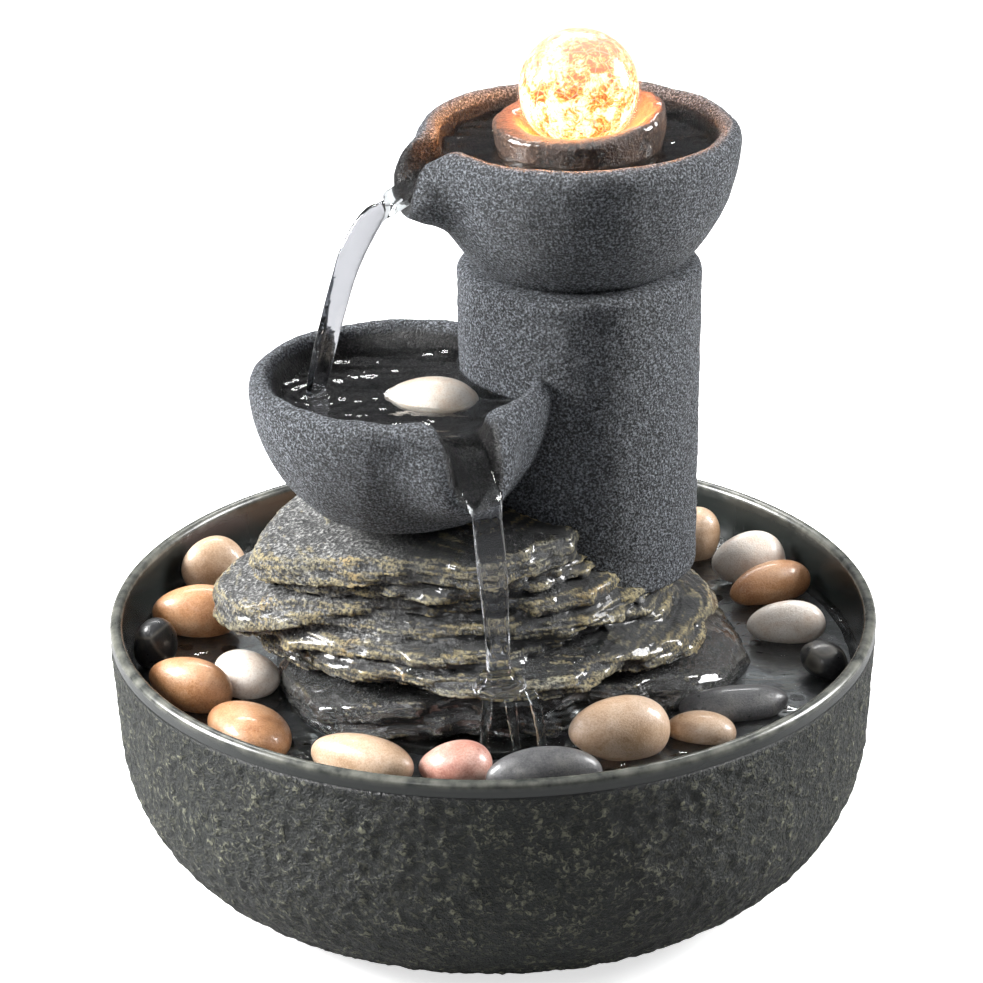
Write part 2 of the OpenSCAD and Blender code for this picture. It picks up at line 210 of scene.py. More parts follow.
def blur(values, passes=2):
    """Box blur of a grid along its three axes."""
    for _ in range(passes):
        for axis in range(3):
            values = (np.roll(values, 1, axis) + values + np.roll(values, -1, axis)) / 3
    return values


# ---- material tools

class Nodes:
    """Shorthand for building a node tree."""

    def __init__(self, tree):
        self.nodes, self.links = tree.nodes, tree.links

    def node(self, kind, inputs=None, **settings):
        node = self.nodes.new("ShaderNode" + kind)
        for key, value in settings.items():
            setattr(node, key, value)
        for key, value in (inputs or {}).items():
            if isinstance(value, bpy.types.NodeSocket):
                self.links.new(value, node.inputs[key])
            else:
                node.inputs[key].default_value = value
        return node

    def ramp(self, value, *stops):
        node = self.node("ValToRGB", {"Fac": value})
        elements = node.color_ramp.elements
        while len(elements) < len(stops):
            elements.new(0.5)
        for element, (position, colour) in zip(elements, stops):
            element.position = position
            shade = colour if isinstance(colour, tuple) else (colour, colour, colour)
            element.color = (*shade, 1)
        return node.outputs["Color"]

    def mix(self, factor, a, b, mode="MIX"):
        inputs = {0: factor, 6: rgba(a), 7: rgba(b)}
        return self.node("Mix", inputs, data_type="RGBA", blend_type=mode).outputs[2]

    def calc(self, operation, a, b=0.0):
        return self.node("Math", {0: a, 1: b}, operation=operation).outputs[0]


class Look(Nodes):
    """A material with shorthand for the textures that this object needs."""

    def __init__(self, name, **sockets):
        self.material = bpy.data.materials.new(name)
        self.material.use_nodes = True
        super().__init__(self.material.node_tree)
        self.shader = self.nodes["Principled BSDF"]
        self.output = self.nodes["Material Output"]
        self.place = self.node("TexCoord").outputs["Object"]
        for socket, value in sockets.items():
            self.shader.inputs[socket.replace("_", " ")].default_value = value

    def noise(self, size, detail=4.0, rough=0.55, warp=0.0, place=None):
        inputs = {"Vector": place or self.place, "Scale": 1 / (size * MM), "Detail": detail,
                  "Roughness": rough, "Distortion": warp}
        return self.node("TexNoise", inputs).outputs["Fac"]

    def cells(self, size, feature="F1", place=None):
        inputs = {"Vector": place or self.place, "Scale": 1 / (size * MM)}
        return self.node("TexVoronoi", inputs, feature=feature).outputs["Distance"]

    def attribute(self, name):
        return self.node("Attribute", attribute_name=name).outputs["Fac"]

    def bump(self, *layers):
        """Stacks bump layers, each (height, depth in millimetres)."""
        normal = None
        for height, depth in layers:
            inputs = {"Height": height, "Distance": depth * MM, "Strength": 1.0}
            if normal is not None:
                inputs["Normal"] = normal
            normal = self.node("Bump", inputs).outputs["Normal"]
        self.set("Normal", normal)

    def set(self, socket, value):
        self.links.new(value, self.shader.inputs[socket])

    def surface(self, shader_output):
        self.links.new(shader_output, self.output.inputs["Surface"])


def rgba(value):
    return (*value, 1.0) if isinstance(value, tuple) else value


# ---- materials

def tower_stone():
    """Sandy blue-grey cast stone, darker where water stands on it."""
    look = Look("tower_stone")
    grain = look.noise(0.6, detail=3.0, rough=0.7)
    cloud = look.noise(22, detail=3.0)
    base = look.ramp(cloud, (0.3, (0.008, 0.010, 0.010)), (0.7, (0.020, 0.023, 0.028)))
    specks = look.ramp(grain, (0.44, 0.0), (0.54, 0.3), (0.66, 1.0))
    colour = look.mix(specks, base, (0.44, 0.475, 0.53))
    wet = look.attribute("wet")
    soaked = look.mix(1.0, colour, (0.16, 0.14, 0.125), mode="MULTIPLY")
    look.set("Base Color", look.mix(wet, colour, soaked))
    rough = look.ramp(grain, (0.3, 0.75), (0.7, 0.45))
    look.set("Roughness", look.mix(wet, rough, (0.3, 0.3, 0.3)))
    look.bump((grain, 3.2))
    return look.material


def wet_stone():
    """Dark wet stone of the ball holder, lit orange by the lamp, with more of the lamp's orange glow painted
    into its brown colour.
    """
    look = Look("wet_stone", Coat_Weight=0.6, Coat_Roughness=0.08)
    grain = look.noise(1.0, detail=4.0, rough=0.7)
    cloud = look.noise(6, detail=4.0)
    # Painted light: the brown-orange base and flecks paint the lamp's orange glow onto the dark wet stone.
    base = look.ramp(cloud, (0.35, (0.016, 0.008, 0.005)), (0.65, (0.11, 0.055, 0.03)))
    colour = look.mix(look.ramp(grain, (0.50, 0.0), (0.72, 1.0)), base, (0.30, 0.20, 0.14))
    look.set("Base Color", colour)
    look.set("Roughness", look.ramp(grain, (0.3, 0.25), (0.7, 0.5)))
    look.bump((grain, 1.6), (cloud, 0.8))
    return look.material


def basin_cast():
    """Black-green hammered casting with dull gold on its high spots and a polished rim."""
    look = Look("basin_cast")
    height = look.attribute("height")
    grain = look.noise(0.8, detail=4.0, rough=0.65)
    cloud = look.noise(30, detail=2.0)
    dark = look.ramp(cloud, (0.3, (0.006, 0.008, 0.007)), (0.7, (0.013, 0.017, 0.015)))
    dents = look.noise(1.5, detail=3.0, rough=0.6, warp=0.8)
    crests = look.ramp(height, (0.40, 0.25), (0.75, 1.0))
    flecks = look.calc("MULTIPLY", crests, look.ramp(dents, (0.52, 0.0), (0.64, 1.0)))
    colour = look.mix(flecks, dark, (0.22, 0.22, 0.15))
    rim = look.attribute("rim")
    worn = look.ramp(look.noise(5, detail=5.0), (0.35, 0.1), (0.65, 0.8))
    worn = look.calc("MULTIPLY", look.attribute("lip"), worn)
    smooth_colour = look.mix(worn, (0.016, 0.019, 0.018), (0.20, 0.20, 0.17))
    look.set("Base Color", look.mix(rim, colour, smooth_colour))
    rough = look.ramp(grain, (0.3, 0.42), (0.7, 0.72))
    look.set("Roughness", look.mix(rim, rough, (0.25, 0.25, 0.25)))
    strength = look.calc("SUBTRACT", 1.0, rim)
    look.bump((look.calc("MULTIPLY", dents, strength), 3.0), (look.calc("MULTIPLY", grain, strength), 0.8))
    return look.material


def slate():
    """Layered slate: black where wet, pale grey on the upper left as painted key light on the drier stone
    there, with dry-brushed gold on its edges.
    """
    look = Look("slate_rock", Coat_Roughness=0.06)
    stretch = look.node("Mapping", {"Vector": look.place, "Scale": (1, 1, 3.5)}).outputs[0]
    layers = look.noise(5, detail=7.0, rough=0.65, warp=0.6, place=stretch)
    grain = look.noise(0.9, detail=4.0, rough=0.7)
    patches = look.noise(14, detail=3.0)
    dark = look.ramp(layers, (0.25, 0.006), (0.55, (0.020, 0.021, 0.021)), (0.85, (0.060, 0.062, 0.060)))
    pale = look.ramp(grain, (0.40, 0.012), (0.50, 0.09), (0.64, (0.44, 0.44, 0.42)))
    # Painted key light: the pale colour goes only on the upper left surfaces, where the light from the left
    # falls, on top of the drier stone there.
    dry = look.calc("MULTIPLY", look.attribute("dry"), look.ramp(layers, (0.36, 0.25), (0.56, 1.0)))
    base = look.mix(dry, dark, pale)
    edge = look.ramp(look.attribute("edge"), (0.08, 0.0), (0.40, 1.0))
    edge = look.calc("MULTIPLY", edge, look.ramp(grain, (0.38, 0.0), (0.58, 1.0)))
    gold = look.ramp(patches, (0.35, (0.30, 0.28, 0.19)), (0.6, (0.42, 0.34, 0.16)),
                     (0.75, (0.52, 0.34, 0.13)))
    look.set("Base Color", look.mix(edge, base, gold))
    wet = look.attribute("wet")
    dry_rough = look.ramp(grain, (0.3, 0.5), (0.7, 0.8))
    wet_rough = look.ramp(grain, (0.3, 0.10), (0.7, 0.30))
    look.set("Roughness", look.mix(wet, dry_rough, wet_rough))
    look.set("Coat Weight", wet)
    look.bump((layers, 1.6), (grain, 0.7))
    return look.material


def pebble_look(name, dark, mid, light, vein=None, patch=9.0):
    """Polished pebble with soft clouds, sandy specks and, on some, veins."""
    look = Look(name, Coat_Weight=0.3, Coat_Roughness=0.10, Specular_IOR_Level=0.45)
    tone = look.attribute("tone")
    offset = look.node("CombineXYZ", {0: look.calc("MULTIPLY", tone, 3.0), 1: tone, 2: tone}).outputs[0]
    place = look.node("Mapping", {"Vector": look.place, "Location": offset}).outputs[0]
    cloud = look.noise(patch, detail=5.0, rough=0.6, warp=0.3, place=place)
    colour = look.ramp(cloud, (0.26, dark), (0.50, mid), (0.76, light))
    sand = look.noise(0.5, detail=3.0, rough=0.8, place=place)
    deep = tuple(channel * 0.6 for channel in dark)
    colour = look.mix(look.ramp(sand, (0.35, 0.4), (0.5, 0.0)), colour, deep)
    colour = look.mix(look.ramp(sand, (0.52, 0.0), (0.68, 0.4)), colour, light)
    if vein:
        lines = look.cells(patch * 1.1, feature="DISTANCE_TO_EDGE", place=place)
        lines = look.ramp(lines, (0.0, 0.8), (0.07, 0.0))
        colour = look.mix(lines, colour, vein)
    bright = look.calc("ADD", look.calc("MULTIPLY", tone, 0.35), 0.82)
    look.set("Base Color", look.mix(1.0, colour, look.ramp(bright, (0.0, 0.0), (1.0, 1.0)), mode="MULTIPLY"))
    look.set("Roughness", look.ramp(look.noise(3, detail=3.0), (0.3, 0.26), (0.7, 0.46)))
    look.bump((cloud, 0.3), (sand, 0.12))
    return look.material


def water_look():
    """Clear water: see-through face on, a mirror at grazing angles, and greyer where it falls."""
    look = Look("water", Roughness=0.015, IOR=1.333, Transmission_Weight=1.0)
    falling = look.attribute("falling")
    look.set("Base Color", look.mix(falling, (0.93, 0.97, 0.98), (0.70, 0.71, 0.75)))
    ripple = look.noise(5, detail=2.0, warp=0.5)
    look.bump((ripple, 0.25))
    return look.material


def painted_glow_core():
    """Crackled heart of the ball with the LED's light painted in as its own glow: white and yellow below near
    the lamp, orange and clear above.
    """
    look = Look("painted_glow_core", Roughness=0.2)
    cracks = look.cells(4.2, feature="DISTANCE_TO_EDGE")
    fine = look.noise(2.6, detail=7.0, rough=0.75, warp=2.5)
    big = look.noise(7, detail=3.0, warp=1.2)
    height = look.attribute("height")
    lines = look.ramp(cracks, (0.0, 0.45), (0.04, 0.0))
    glow_level = look.calc("ADD", look.calc("MULTIPLY", fine, 0.9), look.calc("MULTIPLY", big, 0.6))
    glow_level = look.calc("SUBTRACT", glow_level, look.calc("MULTIPLY", height, 0.07))
    colour = look.ramp(glow_level, (0.60, (0.40, 0.12, 0.04)), (0.66, (0.85, 0.38, 0.08)),
                       (0.71, (1.0, 0.70, 0.20)), (0.75, (1.0, 0.93, 0.74)), (0.82, 1.0))
    colour = look.mix(lines, colour, (1.0, 0.95, 0.85))
    upper = look.calc("MULTIPLY", look.ramp(height, (0.55, 0.0), (1.0, 1.0)), 0.55)
    clear = look.mix(upper, colour, (0.80, 0.62, 0.56))
    side = look.node("LayerWeight", {"Blend": 0.35}).outputs["Facing"]
    colour = look.mix(look.ramp(side, (0.55, 0.0), (0.95, 0.7)), clear, (0.80, 0.50, 0.38))
    look.set("Base Color", look.mix(1.0, colour, (0.2, 0.2, 0.2), mode="MULTIPLY"))
    # Painted glow: the lamp light in the ball is painted in as emission, whiter and brighter lower down near
    # the lamp.
    look.set("Emission Color", colour)
    look.shader.inputs["Emission Strength"].default_value = 1.0
    return look.material


def clear_glass():
    """Thin clear shell: transparent face on, shining towards its edge."""
    look = Look("crackle_glass")
    fresnel = look.node("Fresnel", {"IOR": 1.25}).outputs[0]
    fleck = look.noise(4, detail=5.0, rough=0.7, warp=1.5)
    haze = look.calc("MULTIPLY", look.ramp(fleck, (0.62, 0.0), (0.8, 1.0)), 0.25)
    haze = look.calc("ADD", look.calc("MULTIPLY", fresnel, 0.3), haze)
    through = look.node("BsdfTransparent", {"Color": (1.0, 0.97, 0.94, 1)}).outputs[0]
    shine = look.node("BsdfGlossy", {"Color": (1, 1, 1, 1), "Roughness": 0.03}).outputs[0]
    look.surface(look.node("MixShader", {0: haze, 1: through, 2: shine}).outputs[0])
    return look.material


def shard_look():
    """Fracture faces inside the ball, with the lamp light they catch painted in as their own glow."""
    look = Look("crackle_shards", Roughness=0.1)
    streak = look.noise(3, detail=5.0, warp=1.5)
    colour = look.ramp(streak, (0.35, (1.0, 0.35, 0.05)), (0.55, (1.0, 0.75, 0.3)), (0.7, (1.0, 0.97, 0.9)))
    # Painted glow: emission stands in for the lamp light caught on the fracture faces.
    glow = look.node("Emission", {"Color": colour, "Strength": 1.7}).outputs[0]
    through = look.node("BsdfTransparent").outputs[0]
    amount = look.ramp(streak, (0.40, 0.1), (0.6, 0.85))
    look.surface(look.node("MixShader", {0: amount, 1: through, 2: glow}).outputs[0])
    return look.material


def plastic(name, colour, rough=0.45, clear=0.0):
    """Moulded plastic or rubber with a fine uneven skin."""
    look = Look(name, Transmission_Weight=clear)
    skin = look.noise(1.5, detail=4.0)
    dull = tuple(channel * 0.75 for channel in colour)
    look.set("Base Color", look.ramp(look.noise(12, detail=3.0), (0.35, dull), (0.65, colour)))
    look.set("Roughness", look.ramp(skin, (0.3, rough * 0.8), (0.7, min(1.0, rough * 1.25))))
    look.bump((skin, 0.05))
    return look.material


def lamp_chip():
    look = Look("lamp_chip")
    cloud = look.noise(1.5)
    colour = look.ramp(cloud, (0.3, (1.0, 0.6, 0.12)), (0.7, (1.0, 0.85, 0.4)))
    look.set("Base Color", colour)
    look.set("Emission Color", colour)
    look.shader.inputs["Emission Strength"].default_value = 6.0
    return look.material


def floor_look():
    """Pale sweep that the camera sees as nearly white, with a soft shadow left on it."""
    look = Look("studio_floor", Roughness=0.6)
    pale = look.ramp(look.noise(300, detail=2.0), (0.3, (0.92, 0.92, 0.92)), (0.7, (0.94, 0.94, 0.94)))
    look.set("Emission Color", pale)
    seen = look.node("LightPath").outputs["Is Camera Ray"]
    look.set("Base Color", look.mix(seen, (0.35, 0.35, 0.35), pale))
    look.set("Emission Strength", look.calc("MULTIPLY", seen, 0.72))
    return look.material


# ---- turned pieces

def turned(name, profile, turns, swell, relief, centre=(0, 0), **marks):
    """Spins a closed (radius, height) outline around a vertical axis.

    swell(angle, radius, height) gives how far each point stands out along the outline's normal, at most
    relief millimetres. Each mark is a function of (radius, height) stored as a vertex attribute.
    """
    profile = np.array(profile, dtype=float)
    ahead = np.roll(profile, -1, axis=0) - np.roll(profile, 1, axis=0)
    normal = np.stack([ahead[:, 1], -ahead[:, 0]], axis=1)
    normal /= np.maximum(np.linalg.norm(normal, axis=1), 1e-9)[:, None]
    angle = np.linspace(0, 2 * math.pi, turns, endpoint=False)
    a, r = np.meshgrid(angle, profile[:, 0], indexing="ij")
    z = np.broadcast_to(profile[:, 1], r.shape)
    out = swell(a, r, z)
    r = r + out * normal[:, 0]
    z = z + out * normal[:, 1]
    points = np.stack([centre[0] + r * np.cos(a), centre[1] + r * np.sin(a), z], axis=-1).reshape(-1, 3)
    rows, columns = len(angle), len(profile)
    i, j = np.meshgrid(np.arange(rows), np.arange(columns), indexing="ij")
    next_i, next_j = (i + 1) % rows, (j + 1) % columns
    corners = [(i, j), (next_i, j), (next_i, next_j), (i, next_j)]
    faces = np.stack([row * columns + column for row, column in corners], axis=-1)
    data = new_mesh(name, points, faces.reshape(-1, 4))
    for key, rule in marks.items():
        store(data, key, rule(r, z))
    store(data, "height", out / relief * 0.5 + 0.5)
    return show(name, data)


def arc(cx, cz, rx, rz, start, end, steps):
    """Outline points of an elliptical arc, from start to end degrees."""
    turns = np.radians(np.linspace(start, end, steps))
    return [(cx + rx * math.cos(t), cz + rz * math.sin(t)) for t in turns]


def spread(a, b, steps):
    """Outline points on a straight run, without its last end."""
    return [(a[0] + (b[0] - a[0]) * i / steps, a[1] + (b[1] - a[1]) * i / steps) for i in range(steps)]


def surface_noise(a, r, z, cell, seed):
    """Noise on a turned surface that closes around its axis."""
    rng = np.random.default_rng(seed)
    around = max(8, int(2 * math.pi * r.max() / cell))
    s = a / (2 * math.pi) * around
    length = np.cumsum(np.hypot(np.diff(r[0], prepend=r[0][0]), np.diff(z[0], prepend=z[0][0]))) / cell
    t = np.broadcast_to(length, r.shape)
    table = rng.uniform(-1, 1, (around, int(length[-1]) + 2))
    i, j = np.floor(s).astype(int) % around, np.floor(t).astype(int)
    u, v = s - np.floor(s), t - np.floor(t)
    u, v = u * u * (3 - 2 * u), v * v * (3 - 2 * v)
    k = (i + 1) % around
    return (table[i, j] * (1 - u) * (1 - v) + table[k, j] * u * (1 - v)
            + table[i, j + 1] * (1 - u) * v + table[k, j + 1] * u * v)


def basin():
    foot_r, shoulder_z, shoulder_r = 66.0, 43.5, RIM_R - 1.7
    floor = BASIN_FOOT + WALL
    lip = WALL / 2
    lip_r, lip_steps = RIM_R - lip, 11
    outline = spread((0.01, BASIN_FOOT), (foot_r, BASIN_FOOT), 30)
    outline += arc(foot_r, shoulder_z, shoulder_r - foot_r, shoulder_z - BASIN_FOOT, -90, 0, 75)[:-1]
    outline += spread((shoulder_r, shoulder_z), (RIM_R, RIM_Z - 2), 40)
    lip_start = len(outline)
    outline += arc(lip_r, RIM_Z - lip, lip, lip, 0, 180, lip_steps)
    outline += spread((lip_r - lip, RIM_Z - 2), (shoulder_r - WALL, shoulder_z), 16)[1:]
    outline += arc(foot_r, shoulder_z, shoulder_r - WALL - foot_r, shoulder_z - floor, 0, -90, 26)[:-1]
    outline += spread((foot_r, floor), (0.01, floor), 12)
    order = np.arange(len(outline))[None, :]
    outside, inside = order <= lip_start, order > lip_start + lip_steps / 2

    smooth_edge = RIM_Z - 5
    coarse, fine = 0.34, 0.28

    def hammered(a, r, z):
        dents = coarse * surface_noise(a, r, z, 3.2, 1) + fine * surface_noise(a, r, z, 1.7, 2)
        band = fade((smooth_edge - z) / 2) * outside
        return dents * band * fade((z - BASIN_FOOT - 0.5) / 3)

    def is_rim(r, z):
        return np.maximum(fade((z - smooth_edge) / 0.6), inside * 1.0)

    def is_lip(r, z):
        return np.exp(-((z - RIM_Z + 0.6) / 0.9) ** 2)

    return turned("basin_shell", outline, 900, hammered, coarse + fine, rim=is_rim, lip=is_lip)


def column():
    edge, top = 3.0, COLUMN_TOP
    foot_r, bore, hole, cap = COLUMN_R - 0.8, 25.0, 12.0, 8.0
    outline = spread((bore, COLUMN_FOOT), (foot_r, COLUMN_FOOT), 8)
    outline += spread((foot_r, COLUMN_FOOT), (COLUMN_R, top - edge), 130)
    outline += arc(COLUMN_R - edge, top - edge, edge, edge, 0, 90, 9)
    outline += spread((COLUMN_R - edge - 1, top), (hole, top), 30)
    outline += spread((hole, top), (hole, top - cap), 8)
    outline += spread((hole, top - cap), (bore, top - cap), 10)
    outline += spread((bore, top - cap), (bore, COLUMN_FOOT), 20)
    fine, coarse = 0.13, 0.16

    def grains(a, r, z):
        return fine * surface_noise(a, r, z, 1.15, 3) + coarse * surface_noise(a, r, z, 4.5, 4)

    return turned("column_drum", outline, 360, grains, fine + coarse, centre=TOWER[:2])


# ---- bowls and their water

class Bowl:
    """A half bowl with a pouring spout, measured in axes turned along the spout: u out, v across, w up."""

    wall = 6.0

    def __init__(self, centre, rim, radius, depth, foot, floor_depth, turn, nose, face, weir, tip,
                 narrow, wide):
        self.centre, self.rim, self.radius, self.depth = centre, rim, radius, depth
        self.foot, self.floor_depth, self.turn = foot, floor_depth, math.radians(turn)
        self.nose, self.face, self.weir, self.tip = nose, face, weir, tip
        self.narrow, self.wide = narrow, wide

    def local(self, field):
        dx, dy = field.x - self.centre[0], field.y - self.centre[1]
        along = dx * math.cos(self.turn) + dy * math.sin(self.turn)
        across = dy * math.cos(self.turn) - dx * math.sin(self.turn)
        return along, across, field.z - self.rim

    def world(self, along, across, up):
        x = self.centre[0] + along * math.cos(self.turn) - across * math.sin(self.turn)
        y = self.centre[1] + along * math.sin(self.turn) + across * math.cos(self.turn)
        return np.array([x, y, self.rim + up])

    def channel(self, u, v, w, spare=0.0):
        """U-shaped trough that starts at the weir and falls to the tip."""
        run = (self.weir[0] - 16, 0, self.weir[1] + self.wide + 1)
        start = (self.weir[0], 0, self.weir[1] + self.wide)
        end = (self.tip[0] + 12, 0, self.tip[1] + self.narrow + 12 * self.fall())
        upper = horn(u, v, w, run, start, self.wide * 1.25, self.wide, open_top=True)
        lower = horn(u, v, w, start, end, self.wide, self.narrow, open_top=True)
        return join(upper, lower, 3) - spare

    def fall(self):
        return (self.tip[1] - self.weir[1]) / (self.tip[0] - self.weir[0])

    def hollow(self, field):
        u, v, w = self.local(field)
        inside = squashed_ball(u, v, w, self.radius - self.wall, self.floor_depth)
        return join(inside, self.channel(u, v, w), 4)

    def body(self, field):
        u, v, w = self.local(field)
        outside = squashed_ball(u, v, w, self.radius, self.depth)
        reach, radius = self.nose
        spout = horn(u, v, w, (reach - 22, 0, 0.8 - radius), (reach, 0, 0.8 - radius), radius, radius)
        outside = join(outside, spout, 8)
        outside = meet(outside, w - 0.8, 5)
        top, slope = self.face
        tilt = math.atan(slope)
        outside = meet(outside, (u - top) * math.cos(tilt) + w * math.sin(tilt), 6)
        shape = meet(outside, -self.hollow(field), 3.6)
        return meet(shape, self.foot - field.z, 2)

    def wet(self, field):
        """1 on the inner wall, from just over the water line down."""
        return fade(2.6 - self.hollow(field)) * fade((self.rim - 0.6 - field.z) / 2)

    def water(self, field, level, thin):
        """Water that fills the hollow to a level and runs out along the spout."""
        u, v, w = self.local(field)
        bottom = self.weir[1] + (u - self.weir[0]) * self.fall() + thin
        surface = join(level - self.rim + 0 * u, bottom, 3)
        surface = np.where(u < self.weir[0] - 8, level - self.rim, surface)
        ripple = 0.42 * field.noise(6, 21, stretch=(1.8, 0.8, 1))
        ripple = ripple + 0.20 * field.noise(2.8, 22, stretch=(1.6, 0.8, 1))
        end = u - self.tip[0] - 1
        return meet(meet(self.hollow(field) - 0.35, w - surface + ripple, 0.8), end, 1)


top_bowl = Bowl(TOWER[:2], TOP_RIM, 42.8, 47.4, COLUMN_TOP - 1, 23, 200, nose=(42.5, 10.8), face=(50, 0.16),
                weir=(38, -8.5), tip=(52, -16.5), narrow=5.2, wide=6.5)
mid_bowl = Bowl(MID_CENTRE, MID_RIM, 40.7, 45, 112.5, 16, -65, nose=(36, 14), face=(43, 0.36),
                weir=(36.5, -7), tip=(49, -19), narrow=4.6, wide=6.0)


def grain(field):
    return 0.10 * field.noise(1.2, 31) + 0.25 * field.noise(7, 32)


def make_top_bowl():
    field = Field((-34, -42, 168), (72, 54, 213), 0.6)
    shape = top_bowl.body(field) + grain(field)
    radius = away(field, TOWER)
    lamp_seat = np.maximum(radius - 13, 186 - field.z)
    riser_hole = radius - 5
    shape = np.maximum(shape, -np.minimum(lamp_seat, riser_hole))
    return field.mesh("top_bowl_cast", shape, wet=top_bowl.wet(field))


def make_middle_bowl():
    field = Field((-68, -72, 108), (26, 30, 153), 0.6)
    shape = mid_bowl.body(field) + grain(field)
    drum = away(field, TOWER) - COLUMN_R + 0.3
    return field.mesh("middle_bowl_cast", np.maximum(shape, -drum), wet=mid_bowl.wet(field))


def make_ball_holder():
    """Ring with a slanted top and a dish that holds the ball."""
    field = Field((-2, -20, 184), (50, 32, 218), 0.5)
    x, y, z = field.x - TOWER[0], field.y - TOWER[1], field.z
    mid_z, slope_x, slope_y = 212.4, 0.095, 0.042
    foot_r, flare, bore = 19.3, 3.6, 13
    dish_r, dish_z, dish_slope = 14.2, 208.5, 1.05
    radius = away(field, TOWER)
    slant = (z - mid_z - slope_x * x - slope_y * y) * 0.99
    wall = radius - foot_r - flare * fade((z - 186) / 24)
    shape = meet(wall, slant, 2.2)
    ball = np.sqrt(x * x + y * y + (z - BALL[2]) ** 2) - BALL_R - 0.3
    dish = (radius - dish_r - dish_slope * (z - dish_z)) * 0.69
    shape = meet(shape, -np.minimum(ball, np.maximum(dish, dish_z - 1 - z)), 1.6)
    shape = np.maximum(np.maximum(shape, bore - radius), 186.2 - z)
    return field.mesh("ball_holder_cast", shape + 0.10 * field.noise(1.3, 41) + 0.35 * field.noise(5, 42))


def stream(field, start, end, wide, thick, turn, seed):
    """Falling water: a flat rope along a falling arc, with folds running down it."""
    fall = fade((start[2] - field.z) / (start[2] - end[2]))
    path = np.sqrt(fall)
    cx = start[0] + (end[0] - start[0]) * path
    cy = start[1] + (end[1] - start[1]) * path
    spin = math.radians(turn) + 0.5 * fall
    dx, dy = field.x - cx, field.y - cy
    across = dx * np.cos(spin) + dy * np.sin(spin)
    along = dy * np.cos(spin) - dx * np.sin(spin)
    a = wide * (1 - 0.22 * fall + 0.05 * np.sin(fall * 9 + seed))
    b = thick * (1 - 0.15 * fall)
    lens = np.sqrt((across / a) ** 2 + (along / b) ** 2)
    beads = 0.35 * np.exp(-((np.abs(across) / a - 0.8) / 0.2) ** 2)
    folds = 0.20 * field.noise(2.4, seed, stretch=(1, 1, 9))
    distance = ((lens - 1) * b - beads + folds) * 0.75
    return np.maximum(distance, np.maximum(field.z - start[2] - 0.5, end[2] - 1 - field.z))


def splash(field, spots, size, seed):
    """Beads of water thrown up around a landing place."""
    rng = np.random.default_rng(seed)
    drops = None
    for spot in spots:
        for _ in range(7):
            place = np.array(spot) + rng.normal(0, size, 3) * (1, 1, 0.35)
            radius = rng.uniform(0.35, 0.95)
            drop = np.sqrt(away(field, place) ** 2 + (field.z - place[2]) ** 2) - radius
            drops = drop if drops is None else np.minimum(drops, drop)
    return drops


UPPER_TIP = top_bowl.world(51.5, 0, -14.5)
UPPER_END = np.array([-46.0, -17.0, MID_WATER])
LOWER_TIP = mid_bowl.world(48.5, 0, -17.0)
LOWER_END = np.array([1.5, -63.0, 80.0])


def make_upper_water():
    field = Field((-56, -42, 140), (68, 48, 208), 0.6)
    pool = top_bowl.water(field, TOP_WATER, 3.2)
    pool = np.maximum(pool, 20.5 - away(field, TOWER))
    pool = np.maximum(pool, 188 - field.z)
    falling = stream(field, UPPER_TIP, UPPER_END, 4.0, 1.7, 18, 51)
    return field.mesh("upper_water", join(pool, falling, 1.5), falling=fade(pool - falling))


def make_lower_water():
    field = Field((-66, -78, 76), (26, 28, 150), 0.6)
    pool = mid_bowl.water(field, MID_WATER, 3.0)
    pool = np.maximum(pool, COLUMN_R - away(field, TOWER))
    falling = stream(field, LOWER_TIP, LOWER_END, 3.9, 1.8, 0, 55)
    foot = squashed_ball(field.x - LOWER_END[0], field.y - LOWER_END[1], field.z - LOWER_END[2], 7, 1.4)
    falling = join(falling, foot, 3)
    rings = away(field, UPPER_END)
    waves = 0.5 * np.sin(rings * 1.5) * np.exp(-rings / 9) * (field.z > MID_WATER - 3)
    pool = pool + waves
    return field.mesh("lower_water", join(pool, falling, 2), falling=fade(pool - falling))


def make_basin_water():
    field = Field((-104, -104, TRAY_TOP - 1), (104, 104, TRAY_TOP + 14), 0.8)
    ripple = 0.5 * field.noise(8, 61, stretch=(1.6, 0.8, 1))
    ripple = ripple + 0.3 * field.noise(3.6, 62, stretch=(1.5, 0.8, 1))
    shape = np.maximum(field.z - BASIN_WATER + ripple, away(field, (0, 0)) - RIM_R + WALL - 0.6)
    shape = np.maximum(shape, TRAY_TOP + 0.1 - field.z)
    drops = splash(field, [(4, -72, BASIN_WATER), (30, -66, BASIN_WATER), (12, -74, BASIN_WATER)], 5, 63)
    return field.mesh("basin_water", join(shape, drops, 1.0))


# ---- rock

